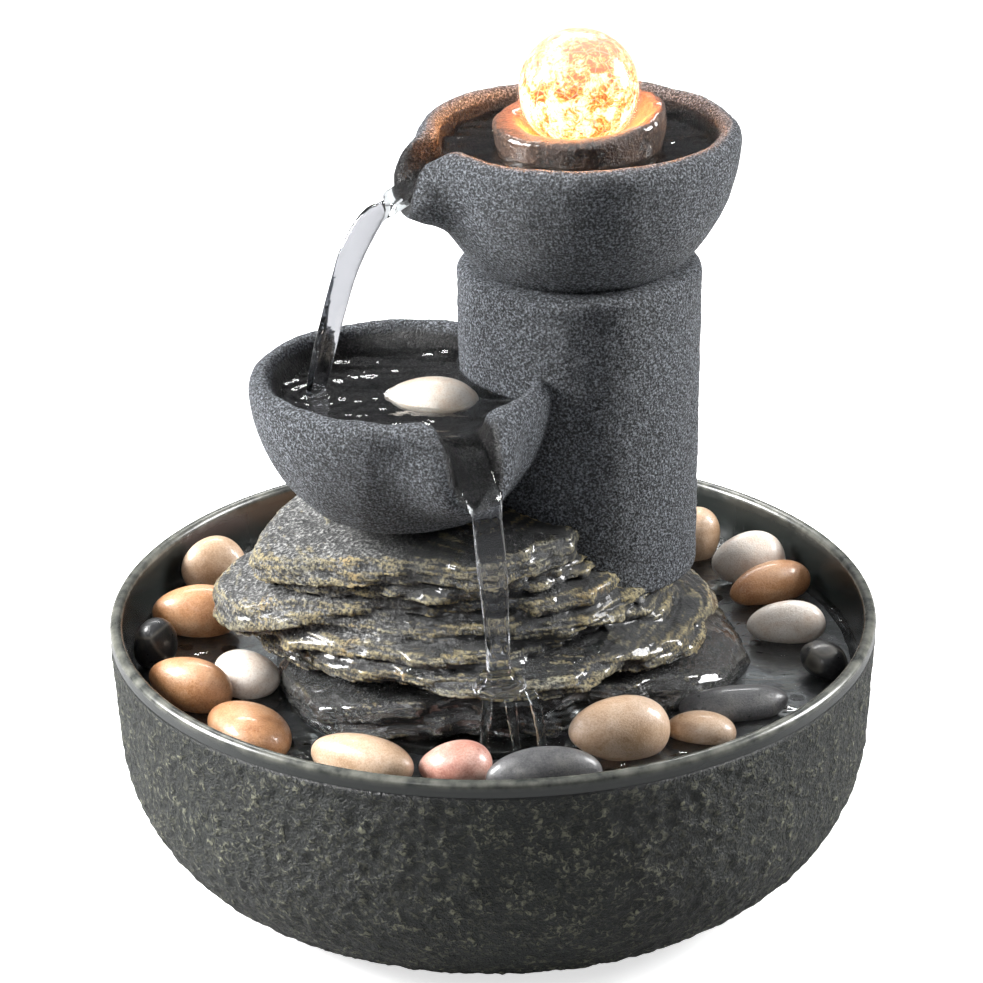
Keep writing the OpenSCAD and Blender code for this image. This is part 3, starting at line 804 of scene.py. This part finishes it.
# The slate lies in shells that arch over one crown. Each slab: height at the crown, thickness, and its reach
# from the crown in a few compass directions (degrees: millimetres).
CROWN = (0.0, -10.0)
ARCH = 0.003
SLABS = [
    (76, 14, {0: 69, 15: 74, 30: 75, 60: 66, 90: 55, 140: 55, 180: 55, 230: 45, 275: 42, 326: 50, 345: 65}),
    (76, 12, {0: 45, 90: 52, 150: 54, 187: 58, 213: 60, 230: 55, 250: 46, 275: 36, 320: 40}),
    (85, 6, {0: 56, 30: 62, 90: 60, 150: 64, 175: 67, 200: 58, 240: 46, 300: 44}),
    (86, 6, {0: 59, 25: 68, 60: 64, 120: 55, 180: 58, 240: 49, 271: 51, 301: 50, 320: 52, 340: 56}),
    (90, 5, {0: 50, 30: 55, 90: 58, 150: 60, 180: 64, 234: 48, 262: 46, 282: 39, 306: 40, 325: 38, 345: 48}),
    (94, 5, {0: 47, 45: 45, 100: 50, 150: 62, 180: 66, 230: 42, 270: 38, 300: 41, 330: 42}),
    (99, 10, {0: 36, 60: 36, 120: 46, 165: 76, 177: 77, 186: 73, 198: 60, 215: 48, 240: 36, 275: 37, 315: 38,
              340: 38}),
    (104, 6, {0: 30, 90: 38, 150: 55, 190: 56, 207: 50, 226: 42, 262: 37, 290: 34}),
    (111, 10, {0: 22, 90: 38, 140: 58, 170: 65, 188: 65, 200: 58, 215: 47, 240: 40, 270: 38, 290: 33,
               320: 31}),
]
PLATES = 3


def reach_at(angle, reach):
    """Smoothly interpolated reach of a slab for each direction."""
    turns = sorted(reach)
    around = [turns[-1] - 360] + turns + [turns[0] + 360]
    values = [reach[turns[-1]]] + [reach[t] for t in turns] + [reach[turns[0]]]
    degrees = np.degrees(angle) % 360
    fine = np.linspace(0, 360, 361)
    curve = np.interp(fine, around, values)
    kernel = np.hanning(17) / np.hanning(17).sum()
    curve = np.convolve(np.concatenate([curve[-9:-1], curve, curve[1:9]]), kernel, "valid")
    return np.interp(degrees, fine, curve)


def chipped(angle, seed):
    """Broken edge line of one plate: how far the edge strays, in millimetres, for each direction."""
    rng = np.random.default_rng(seed)
    out = np.zeros_like(angle)
    for wave, size in ((5, 0.9), (9, 0.8), (15, 0.6), (26, 0.3), (41, 0.15)):
        out += size * np.sin(wave * angle + rng.uniform(0, 2 * math.pi))
    return out


def slate_layers(field, level, ring, angle):
    """Stack of thin slabs, each split into plates whose edges step inwards downwards."""
    shape = None
    for i, (crown, thick, reach) in enumerate(SLABS):
        edge = reach_at(angle, reach)
        for j in range(PLATES):
            top = crown - thick * j / PLATES
            bottom = crown - thick * (j + 1) / PLATES - 0.5
            inset = (0.8, 0.0, 2.6)[j]
            side = ring - edge + inset - chipped(angle, 20 * i + j)
            bevel = side + 0.45 * np.maximum(level - top + 3, 0)
            plate = meet(bevel, np.maximum(level - top, bottom - level), 1.5)
            shape = plate if shape is None else join(shape, plate, 0.9)
    return shape


def rock_space(field):
    """Room kept free inside the rock for the pump, the tower and the door."""
    y, z = field.y, field.z
    cavity_top, skirt_r, cavity_r, shaft_r = 76, 52, 45, 14
    doorway, door_half = 20, 23.6
    ring, tower = away(field, (0, 0)), away(field, TOWER)
    across = np.abs(field.x - TOWER[0])
    room = np.minimum(np.maximum(ring - skirt_r, z - TRAY_TOP), np.maximum(ring - cavity_r, z - cavity_top))
    room = np.minimum(room, np.maximum(tower - shaft_r, z - COLUMN_FOOT - 2))
    room = np.minimum(room, np.maximum(across - doorway, np.maximum(z - cavity_top, -y)))
    room = np.minimum(room, np.maximum(across - door_half, door_low[1] - 0.6 - y))
    return np.minimum(room, np.maximum(tower - COLUMN_R + 0.8, COLUMN_FOOT - z))


def make_rock():
    field = Field((-82, -80, ROCK_FOOT - 2), (82, 64, 118), 0.7)
    x, y, z = field.x, field.y, field.z
    dx, dy = x - CROWN[0], y - CROWN[1]
    ring, angle = away(field, CROWN), np.arctan2(dy, dx)
    level = z + ARCH * ring * ring
    level = level + field.noise(16, 70)
    shape = slate_layers(field, level, ring, angle)
    core = np.maximum(away(field, (-4, -6)) - 40 + 0.25 * np.maximum(z - 60, 0), level - 100)
    shape = np.minimum(shape, core)
    rough = 0.45 * field.noise(8, 71, stretch=(1.5, 1.5, 0.7))
    rough = rough + 0.42 * field.noise(3.2, 72, stretch=(2.4, 2.4, 0.5)) + 0.16 * field.noise(1.5, 73)
    strata = 0.24 * np.sin(level * 4.2 + 3 * field.noise(9, 74)) * fade(1.5 + field.noise(12, 75))
    shape = shape + rough + strata
    skirt = np.maximum(away(field, (0, 0)) - 57, z - TRAY_TOP - 1)
    porch = np.maximum(np.abs(x - TOWER[0]) - 27, np.maximum(np.abs(y - 38) - 18.6, z - COLUMN_FOOT)) + rough
    shape = np.minimum(np.minimum(shape, skirt), np.maximum(porch, 8 - z))
    shape = np.maximum(shape, -rock_space(field))
    shape = np.maximum(shape, ROCK_FOOT - z)
    soft = blur(np.clip(shape, -5, 5), 4)
    edge = fade((soft - shape) * 1.1 - 0.15) * np.clip((level - 70) / 14, 0.25, 1)
    wet = fade((88 - z) / 20) + fade(1.4 - np.abs(x - 4) / 22) * (y < -30) + 0 * shape
    # Painted key light: upper left surfaces marked for the pale colour, standing in for the light from the
    # left as well as the drier stone there.
    dry = fade((-14 - x) / 24) * fade((z - 74) / 8) + 0 * shape
    rock = field.mesh("slate_rock_cast", shape, edge=edge, wet=fade(wet), dry=dry)
    return rock, make_film(field, shape, soft)


def make_film(field, shape, soft):
    """Water that runs over the lower ledges in patches."""
    x, y, z = field.x, field.y, field.z
    pool = LOWER_END + (0, 3, -2)
    landing = np.sqrt(away(field, pool) ** 2 + (z - pool[2]) ** 2) - 8
    patches = 9 * (0.30 - field.noise(10, 76) - 0.3 * field.noise(4, 77))
    patches = np.maximum(patches, np.maximum(z - 82, y + 25))
    patches = np.maximum(patches, np.abs(x + 12) - 42)
    region = np.minimum(landing, patches)
    film = np.maximum(soft - 0.35 + 0.25 * field.noise(3, 78), -1.2 - shape)
    film = meet(film, region, 1.2)
    run = None
    for x0, x1, seed in ((-1, -3, 91), (3, 6, 92), (9, 13, 93)):
        start, end = np.array([x0, -61.5, 78.0]), np.array([x1, -65.0, BASIN_WATER])
        trickle = stream(field, start, end, 1.5, 0.9, 20, seed)
        run = trickle if run is None else np.minimum(run, trickle)
    return field.mesh("ledge_water", join(film, run, 1.5))


def make_door():
    """Rock panel with a finger notch that closes the back of the pump cavity."""
    field = Field(door_low - 2, door_high + 2, 0.6)
    middle, half = (door_low + door_high) / 2, (door_high - door_low) / 2
    sides = [np.abs(axis - middle[i]) - half[i] + 0.3 for i, axis in enumerate((field.x, field.y, field.z))]
    shape = meet(meet(sides[0], sides[1], 1), sides[2], 1)
    notch = np.sqrt((field.x - middle[0]) ** 2 + (field.z - door_high[2] - 2) ** 2) - 7
    shape = meet(shape, -notch, 1.2)
    outer = fade((field.y - middle[1]) / half[1])
    relief = 0.9 * field.noise(7, 81, stretch=(1.6, 1, 0.6)) + 0.5 * field.noise(3, 82)
    shape = shape + np.maximum(relief, 0) * outer
    edge = fade((blur(shape, 3) - shape) * 1.2)
    wet = fade((92 - field.z) / 22) + 0 * shape
    return field.mesh("door_panel", shape, edge=edge, wet=wet)


# ---- pebbles

def islands(mesh):
    """Splits a mesh's points into its separate solids, in millimetres."""
    points = np.array([v.co for v in mesh.vertices]) / MM
    parent = list(range(len(points)))

    def root(i):
        while parent[i] != i:
            parent[i] = parent[parent[i]]
            i = parent[i]
        return i

    keys = {}
    for i, point in enumerate(np.round(points, 2)):
        first = keys.setdefault(tuple(point), i)
        parent[root(i)] = root(first)
    for edge in mesh.edges:
        a, b = edge.vertices
        parent[root(a)] = root(b)
    groups = {}
    for i in range(len(points)):
        groups.setdefault(root(i), []).append(i)
    return sorted((points[group] for group in groups.values()), key=lambda p: tuple(p.mean(axis=0)))


def ball_points(level):
    """Points and faces of a unit ball."""
    shell = bmesh.new()
    bmesh.ops.create_icosphere(shell, subdivisions=level, radius=1)
    points = np.array([v.co for v in shell.verts])
    faces = np.array([[v.index for v in face.verts] for face in shell.faces])
    shell.free()
    return points, faces


def lumps(points, seed, size):
    """Gentle uneven swelling over a unit ball."""
    rng = np.random.default_rng(seed)
    out = np.zeros(len(points))
    for _ in range(7):
        way = rng.normal(0, 1, 3)
        way *= rng.uniform(1.2, 2.6) / np.linalg.norm(way)
        out += np.sin(points @ way + rng.uniform(0, 6.28)) * size / 7
    return 1 + out


def make_pebbles(node, seed):
    unit, faces = ball_points(5)
    all_points, all_faces, tones = [], [], []
    for i, solid in enumerate(islands(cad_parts[node].data)):
        middle = (solid.max(axis=0) + solid.min(axis=0)) / 2
        flat = solid[:, :2] - middle[:2]
        spread_out = flat.T @ flat
        turn = 0.5 * math.atan2(2 * spread_out[0, 1], spread_out[0, 0] - spread_out[1, 1])
        axes = np.array([[math.cos(turn), math.sin(turn)], [-math.sin(turn), math.cos(turn)]])
        along = flat @ axes.T
        size = np.append(np.abs(along).max(axis=0), (solid[:, 2].max() - solid[:, 2].min()) / 2)
        shape = unit * lumps(unit, seed + i, 0.34)[:, None]
        egg = 1 + 0.14 * shape[:, :1]
        shape = shape * np.concatenate([np.ones_like(egg), egg, egg], axis=1)
        shape = shape / np.abs(shape).max(axis=0) * size
        flat_points = shape[:, :2] @ axes
        points = np.column_stack([flat_points, shape[:, 2]]) + middle
        all_faces.append(faces + len(unit) * len(all_points))
        all_points.append(points)
        tones += [np.random.default_rng(seed * 31 + i).uniform(0, 1)] * len(unit)
    data = new_mesh(node + "_polished", np.concatenate(all_points), np.concatenate(all_faces))
    store(data, "tone", tones)
    return show(node + "_polished", data)


# ---- ball

def ball_mesh(name, radius, rough=0.0, seed=0):
    unit, faces = ball_points(6)
    swell = np.ones(len(unit))
    if rough:
        rng = np.random.default_rng(seed)
        ways = rng.normal(0, 1, (90, 3))
        ways /= np.linalg.norm(ways, axis=1)[:, None]
        facing = np.sort(unit @ ways.T, axis=1)
        swell = 1 - rough * (facing[:, -1] - facing[:, -2]) * 6 - rough * (1 - facing[:, -1])
    points = unit * radius * swell[:, None] + BALL
    data = new_mesh(name, points, faces)
    store(data, "height", (unit[:, 2] + 1) / 2)
    return show(name, data)


def make_shards():
    """Curved fracture faces between the ball's heart and its skin."""
    rng = np.random.default_rng(91)
    count, steps, thick = 64, 5, 0.12
    sheet = steps * steps
    corner = np.arange(sheet).reshape(steps, steps)
    cells = [corner[:-1, :-1], corner[1:, :-1], corner[1:, 1:], corner[:-1, 1:]]
    top = np.stack(cells, axis=-1).reshape(-1, 4)
    rim = np.concatenate([corner[:-1, 0], corner[-1, :-1], corner[:0:-1, -1], corner[0, :0:-1]])
    ahead = np.roll(rim, -1)
    sides = np.stack([ahead, rim, rim + sheet, ahead + sheet], axis=-1)
    shard_faces = np.concatenate([top, top[:, ::-1] + sheet, sides])
    grid = np.linspace(-1, 1, steps)
    u, v = np.repeat(grid, steps)[:, None], np.tile(grid, steps)[:, None]
    taper = 1 - 0.45 * u * u
    points, faces = [], []
    for i in range(count):
        centre = rng.normal(0, 1, 3)
        centre *= BALL_R * rng.uniform(0.45, 0.86) / np.linalg.norm(centre)
        normal = rng.normal(0, 1, 3)
        normal /= np.linalg.norm(normal)
        side = np.cross(normal, rng.normal(0, 1, 3))
        side /= np.linalg.norm(side)
        other = np.cross(normal, side)
        size = rng.uniform(0.8, 2.2)
        bend = 0.35 * (u * u + v * v) * size
        face = centre + side * u * size + other * v * size * 0.6 * taper + normal * bend + BALL
        points += [face, face + normal * thick]
        faces.append(shard_faces + 2 * sheet * i)
    return show("crackle_shards", new_mesh("crackle_shards", np.concatenate(points), np.concatenate(faces)))


# ---- putting it together

def place(piece, body, slot, material, *nodes):
    """Gives a piece its material and its body, and hides the CAD nodes it stands for."""
    piece.data.materials.append(material)
    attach(piece, body)
    if nodes:
        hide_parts(*nodes)


def dress(material, *nodes):
    """Gives CAD nodes that stay as they are a better material."""
    for node in nodes:
        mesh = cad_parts[node].data
        mesh.materials.clear()
        mesh.materials.append(material)


stone = tower_stone()
rock_look = slate()
water = water_look()

place(basin(), "fountain", "basin_cast", basin_cast(), "basin")
place(column(), "fountain", "tower_stone", stone, "column")
place(make_top_bowl(), "fountain", "tower_stone", stone, "top_bowl")
place(make_middle_bowl(), "fountain", "tower_stone", stone, "middle_bowl")
place(make_ball_holder(), "fountain", "wet_stone", wet_stone(), "ball_holder")
rock, ledge_film = make_rock()
place(rock, "fountain", "slate_rock", rock_look, "rock_base")
place(ledge_film, "fountain", "water", water)
place(make_door(), "door", "slate_rock", rock_look, "access_door")
place(make_upper_water(), "fountain", "water", water)
place(make_lower_water(), "fountain", "water", water)
place(make_basin_water(), "fountain", "water", water)

shell = ball_mesh("ball_shell", BALL_R)
heart = ball_mesh("ball_heart", BALL_R * 0.965, rough=0.05, seed=95)
shards = make_shards()
place(shell, "ball", "crackle_glass", clear_glass(), "crystal_ball")
place(heart, "ball", "crackle_glass", painted_glow_core())
place(shards, "ball", "crackle_glass", shard_look())
for piece in (shell, heart, shards):
    piece.visible_shadow = False

# Pebble colours: dark, middle, light and, for one kind, the veins.
PEBBLES = {
    "tan": ((0.36, 0.22, 0.12), (0.52, 0.36, 0.24), (0.68, 0.54, 0.42)),
    "brown": ((0.30, 0.115, 0.04), (0.52, 0.26, 0.12), (0.66, 0.42, 0.26)),
    "cream": ((0.62, 0.44, 0.32), (0.74, 0.66, 0.58), (0.82, 0.78, 0.73)),
    "pink": ((0.30, 0.10, 0.07), (0.52, 0.26, 0.20), (0.70, 0.50, 0.42)),
    "grey": ((0.035, 0.035, 0.036), (0.085, 0.085, 0.088), (0.17, 0.165, 0.155)),
    "black": ((0.008, 0.008, 0.01), (0.022, 0.022, 0.023), (0.05, 0.05, 0.045), (0.13, 0.12, 0.10)),
    "veined": ((0.72, 0.52, 0.36), (0.74, 0.66, 0.57), (0.80, 0.77, 0.73)),
}
for number, (kind, colours) in enumerate(PEBBLES.items()):
    loose = kind == "veined"
    node = "bowl_pebble" if loose else "pebbles_" + kind
    slot = "pebble_" + kind
    stones = make_pebbles(node, 100 + 10 * number)
    place(stones, "loose_pebble" if loose else "fountain", slot, pebble_look(slot, *colours), node)

black_plastic = plastic("pump_plastic", (0.03, 0.03, 0.032))
black_rubber = plastic("black_rubber", (0.025, 0.025, 0.025), 0.7)
dress(black_rubber, "foot_pads", "cable_grommet", "led_lead", "pump_feet")
dress(black_plastic, "pebble_tray", "led_housing", "pump_body", "pump_cover", "pump_strainer")
dress(plastic("board_white", (0.75, 0.75, 0.72), 0.6), "led_board")
dress(plastic("dial_grey", (0.16, 0.16, 0.17), 0.4), "flow_dial")
dress(plastic("impeller_white", (0.72, 0.72, 0.70), 0.35), "impeller")
dress(plastic("shaft_ceramic", (0.82, 0.82, 0.80), 0.2), "rotor_shaft")
dress(plastic("clear_tube", (0.75, 0.80, 0.80), 0.15, 0.7), "riser_tube")
dress(plastic("clear_lens", (0.95, 0.93, 0.88), 0.1, 0.9), "led_lens")
dress(lamp_chip(), "led_chips")


# ---- studio

def add_light(name, kind, place, aim, power, size, colour=(1, 1, 1)):
    data = bpy.data.lights.new(name, kind)
    data.energy = power
    data.color = colour
    if kind == "AREA":
        data.shape = "RECTANGLE"
        data.size, data.size_y = size
    else:
        data.shadow_soft_size = size
    light = bpy.data.objects.new(name, data)
    light.location = Vector(place)
    light.rotation_euler = (Vector(aim) - Vector(place)).to_track_quat("-Z", "Y").to_euler()
    bpy.context.scene.collection.objects.link(light)
    return light


def studio():
    side = 4.0
    data = bpy.data.meshes.new("studio_floor")
    corners = [(-side, -side, 0), (side, -side, 0), (side, side, 0), (-side, side, 0)]
    data.from_pydata(corners, [], [(0, 1, 2, 3)])
    data.materials.append(floor_look())
    show("studio_floor", data)
    bpy.context.scene.world = studio_world()
    bpy.context.scene.view_settings.view_transform = "Standard"
    aim = (0, 0, 0.1)
    add_light("left_softbox", "AREA", (-0.85, 0.05, 0.55), aim, 32, (0.4, 0.5))
    add_light("right_softbox", "AREA", (0.85, 0.20, 0.50), aim, 16, (0.3, 0.5))
    add_light("back_strip", "AREA", (-0.1, 1.0, 1.15), aim, 12, (1.0, 0.14))
    add_light("front_card", "AREA", (-0.35, -0.9, 0.75), aim, 1.2, (0.3, 0.3))
    lamp = (BALL - (0, 0, 4)) * MM
    add_light("lamp_glow", "POINT", lamp, aim, 2.0, 0.014, (1.0, 0.33, 0.05))


def studio_world():
    """White seen directly or through the water; a dim room with a bright ceiling in reflections."""
    world = bpy.data.worlds.new("studio_world")
    world.use_nodes = True
    tree = Nodes(world.node_tree)
    path = tree.node("LightPath").outputs
    seen = tree.calc("MAXIMUM", path["Is Camera Ray"], path["Is Transmission Ray"])
    way = tree.node("TexCoord").outputs["Generated"]
    up = tree.node("SeparateXYZ", {0: way}).outputs["Z"]
    room = tree.ramp(up, (0.25, (0.10, 0.10, 0.105)), (0.95, (0.75, 0.76, 0.78)))
    tree.links.new(tree.mix(seen, room, (1, 1, 1)), tree.nodes["Background"].inputs["Color"])
    return world


def photo_camera():
    """The picture's own view: a long lens in front of the fountain, looking down a little."""
    pitch, roll = 0.412, -0.012
    data = bpy.data.cameras.new("photo_camera")
    data.lens = 132.6
    data.sensor_width = 36
    camera = bpy.data.objects.new("photo_camera", data)
    camera.location = (0.0, -0.9, 0.5007)
    camera.rotation_mode = "QUATERNION"
    down = Euler((math.pi / 2 - pitch, 0, 0)).to_quaternion()
    camera.rotation_quaternion = down @ Quaternion((0, 0, 1), roll)
    bpy.context.scene.collection.objects.link(camera)
    bpy.context.scene.camera = camera


studio()
photo_camera()
